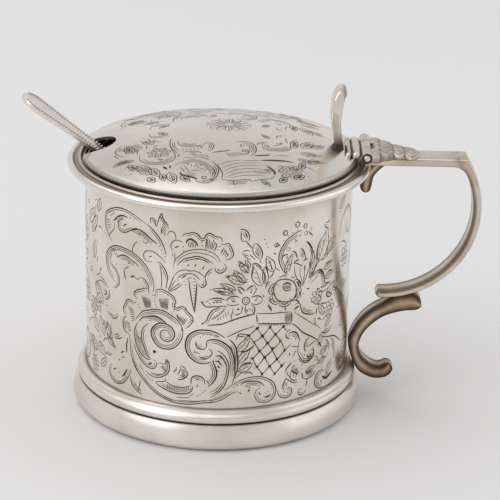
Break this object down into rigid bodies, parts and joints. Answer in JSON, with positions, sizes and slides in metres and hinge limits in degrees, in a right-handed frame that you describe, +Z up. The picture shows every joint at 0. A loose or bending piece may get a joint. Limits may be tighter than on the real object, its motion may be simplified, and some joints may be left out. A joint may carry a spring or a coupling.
{
  "type": "mustard pot",
  "caption": "Drum mustard pot in engraved silver with a hinged domed lid, scroll handle, thumbpiece, glass liner and a spoon in the lid's notch",
  "frame": {"origin": "centre of the foot ring's flat underside, on the pot's axis", "axes": "+Z up along the drum's axis, +X from the drum towards the handle, -Y towards the viewer"},
  "size_m": [0.1132, 0.0748, 0.0816],
  "materials": {
    "silver": "polished sheet and wire silver",
    "engraved_silver": "polished silver with engraved lines",
    "cast_silver": "cast and filed silver",
    "cobalt_glass": "blown cobalt glass"
  },
  "bodies": {
    "pot": {"body_drum": "engraved_silver", "rim_moulding": "silver", "base_moulding": "silver", "foot_ring": "silver", "base_plate": "silver", "hinge_pin": "silver", "handle_knuckle_near": "cast_silver", "handle_knuckle_far": "cast_silver", "handle_leaf": "cast_silver", "handle_strap": "cast_silver", "handle_spur": "cast_silver", "handle_lower_scroll": "cast_silver"},
    "lid": {"lid_dome": "engraved_silver", "lid_hinge_flange": "cast_silver", "lid_knuckle": "cast_silver", "thumbpiece": "cast_silver"},
    "liner": {"glass_liner": "cobalt_glass"},
    "spoon": {"mustard_spoon": "silver"}
  },
  "joints": [
    {"name": "lid_hinge", "type": "hinge", "parent": "pot", "child": "lid", "pos_m": [0.03585, 0, 0.06595], "axis": [0, 1, 0], "range_deg": [0, 108]},
    {"name": "spoon_draw", "type": "slide", "parent": "pot", "child": "spoon", "axis": [-0.8006, -0.014, 0.599], "range_m": [0, 0.02]},
    {"name": "liner_turn", "type": "hinge", "parent": "pot", "child": "liner", "pos_m": [0, 0, 0.0081], "axis": [0, 0, 1], "continuous": true}
  ]
}
